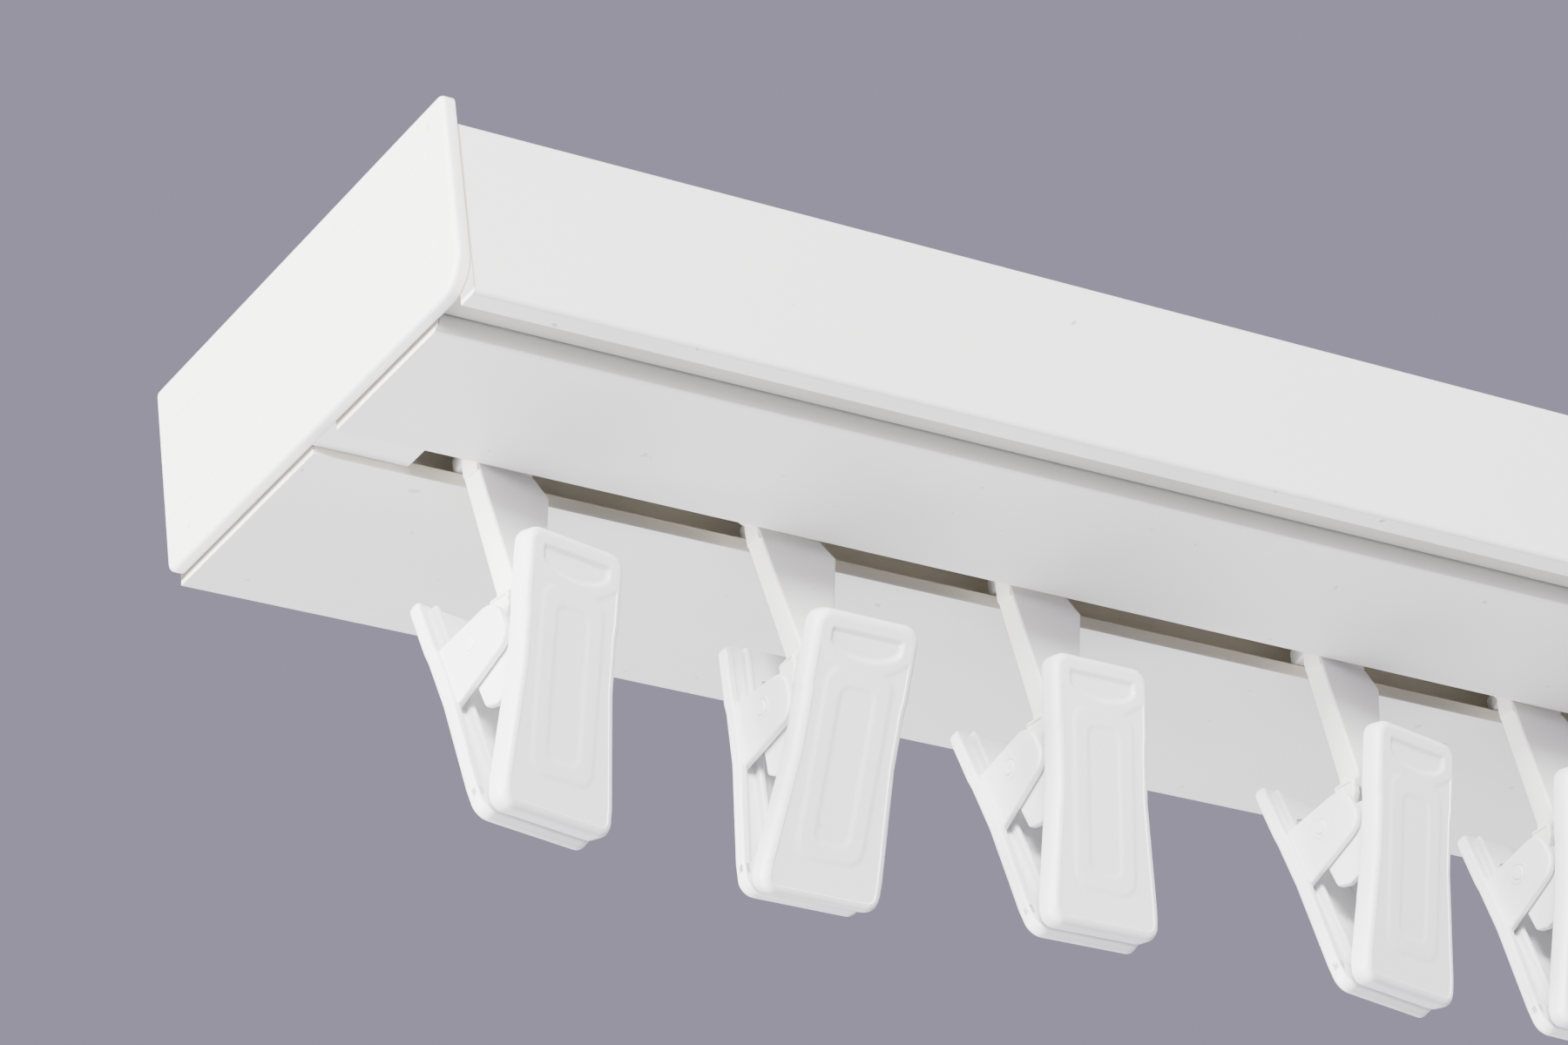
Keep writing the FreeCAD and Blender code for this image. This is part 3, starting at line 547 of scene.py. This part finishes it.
back_loop = rounded_loop(lever_corners(BACK_TOP, BACK_BOTTOM, 0),
                         [2.4, 2.4, 1.5, 1.5, 5, 4, 2.2, 2.2, 4, 5, 1.5, 1.5])
back_parts = [slab(back_loop, BACK_FLOOR, BACK_FACE, (0.02, 0.6), XZ)]
outer_side = [(8.28, 12.0), (8.28, 4.0), (8.08, 2.5), (8.08, -5.0), (9.38, -20.0), (9.38, -22.4)]
inner_side = [(u - RIM_WALL, v) for u, v in outer_side[::-1]]
side_radii = [0.6, 1.5, 1.5, 5, 4, 0.6] + [0.6, 4, 5, 1.5, 1.5, 0.6]
for side in (-1, 1):
    wall = rounded_loop(outer_side + inner_side, side_radii) * (side, 1)
    back_parts.append(slab(wall, BACK_RIM, BACK_FLOOR + 0.6, (0.35, 0.1), XZ))
    middle = side * 4.6
    rib = rounded_loop([(middle - 0.5, -22.5), (middle + 0.5, -22.5), (middle + 0.5, 12.6),
                        (middle - 0.5, 12.6)], 0.45)
    back_parts.append(slab(rib, 5.2, BACK_FLOOR + 0.4, 0.35, XZ))
    ear = rounded_loop([(6.9, 3.6), (-6.2, 2.9), (-6.2, -3.9), (6.9, -6.3)], [0.4, 2.95, 2.95, 0.4], 13)
    back_parts.append(slab(ear, *sorted((side * 6.3, side * 7.5)), 0.35, YZ))
    back_parts.append(raised_ring(1.25, 1.65, side * 7.45, side * 7.58))
jaw = rounded_loop([(-9.38, BACK_BOTTOM + 0.02), (9.38, BACK_BOTTOM + 0.02), (9.38, -20.3), (-9.38, -20.3)],
                   [2.2, 2.2, 0.4, 0.4])
back_parts.append(slab(jaw, BACK_RIM, BACK_FLOOR + 0.6, (0.3, 0.1), XZ))
back_shape = moulded(back_parts)
for number, station in enumerate(STATIONS, start=1):
    put(f"clip_back_{number}_moulding", back_shape, at_pin(station, BACK_LEAN), lever_plastic,
        f"clip_back_{number}", f"clip_back_{number}")

# The pins: plain moulded rods of the gliders' plastic, with slightly rounded ends. Each is pressed into the
# inner ears of a front lever, and turns in the yoke and in the outer ears.
PIN_HALF_LENGTH = 7.7
turn = np.linspace(0, 2 * np.pi, 41)[:-1]
pin_circle = np.stack([np.cos(turn), np.sin(turn)], -1)
pin_shape = moulded([slab(pin_circle, -PIN_HALF_LENGTH, PIN_HALF_LENGTH, 0.12, YZ)])
for number, station in enumerate(STATIONS, start=1):
    put(f"clip_pin_{number}_rod", pin_shape, at_pin(station, 0), glider_plastic, f"clip_front_{number}",
        f"clip_pin_{number}")

# The springs: one length of bright steel wire each, wound nearly three turns round the pin. The legs lean on
# the two levers above the pin and push them apart. Their tips are placed in the frames of these levers.
WIRE_RADIUS, COIL_RADIUS, COIL_WIDTH = 0.33, 2.0, 4.26
LEG_RISE, REAR_LEG_BACK, FRONT_LEG_BACK = 8.0, 6.0, -9.1


def wire_line():
    """The middle of the wire: a leg, a coil at a steady pitch, and a leg. Each leg leaves the coil square to
    its radius: at the tip's angle, plus or minus the arc cosine of coil radius over the tip's distance."""
    ends = []
    for tilt, back in ((BACK_LEAN, REAR_LEG_BACK), (FRONT_LEAN, FRONT_LEG_BACK)):
        lean = math.radians(tilt)
        tip = (back * math.cos(lean) - LEG_RISE * math.sin(lean),
               back * math.sin(lean) + LEG_RISE * math.cos(lean))
        past = math.copysign(math.acos(COIL_RADIUS / math.hypot(*tip)), back)
        ends.append((tip, math.atan2(tip[1], tip[0]) + past))
    (rear_tip, start), (front_tip, end) = ends
    wound = 2 * math.tau + (end - start) % math.tau
    share = np.linspace(0, 1, 121)
    angle = start + wound * share
    coil = np.stack([COIL_WIDTH * (share - 0.5), COIL_RADIUS * np.cos(angle),
                     COIL_RADIUS * np.sin(angle)], -1)
    rear = np.array([-COIL_WIDTH / 2, *rear_tip])
    front = np.array([COIL_WIDTH / 2, *front_tip])
    part = np.linspace(0, 1, 9)[:-1, None]
    return np.concatenate([rear + (coil[0] - rear) * part, coil, (front + (coil[-1] - front) * part)[::-1]])


def wire_round(line, radius, sides=12):
    """A round wire along a line: at each point a circle square to the line. Its first axis is the line's way
    crossed with x, and its second is the way crossed with the first."""
    way = unit(np.gradient(line, axis=0))
    side = unit(np.cross(way, np.array([1.0, 0.0, 0.0])))
    over = np.cross(way, side)
    angle = np.linspace(0, 2 * np.pi, sides + 1)[:-1]
    rings = line[:, None] + radius * (np.cos(angle)[None, :, None] * side[:, None]
                                      + np.sin(angle)[None, :, None] * over[:, None])
    last = len(line) - 1
    ends = [list(range(sides))[::-1], list(range(last * sides, (last + 1) * sides))]
    return rings.reshape(-1, 3), wall_faces(len(line), sides) + ends


spring_shape = moulded([wire_round(wire_line(), WIRE_RADIUS)])
steel = bpy.data.materials.new("spring_steel")
steel.use_nodes = True
steel_surface = steel.node_tree.nodes["Principled BSDF"]
steel_surface.inputs["Metallic"].default_value = 1.0
steel_where = linked(steel.node_tree, "ShaderNodeTexCoord").outputs["Object"]
steel_noise = linked(steel.node_tree, "ShaderNodeTexNoise", {"Vector": steel_where, "Scale": 500.0,
                                                             "Detail": 3.0})
steel_shade = linked(steel.node_tree, "ShaderNodeMix",
                     {"Factor": steel_noise.outputs["Fac"], "A": (0.62, 0.61, 0.59, 1),
                      "B": (0.48, 0.47, 0.46, 1)}, data_type="RGBA")
steel_gloss = linked(steel.node_tree, "ShaderNodeMapRange", {"Value": steel_noise.outputs["Fac"],
                                                             "To Min": 0.22, "To Max": 0.42})
steel_bump = linked(steel.node_tree, "ShaderNodeBump", {"Height": steel_noise.outputs["Fac"],
                                                        "Distance": 0.00001})
steel.node_tree.links.new(steel_shade.outputs["Result"], steel_surface.inputs["Base Color"])
steel.node_tree.links.new(steel_gloss.outputs["Result"], steel_surface.inputs["Roughness"])
steel.node_tree.links.new(steel_bump.outputs["Normal"], steel_surface.inputs["Normal"])
for number, station in enumerate(STATIONS, start=1):
    put(f"clip_spring_{number}_wire", spring_shape, at_pin(station, 0), steel, f"clip_front_{number}",
        f"clip_spring_{number}")
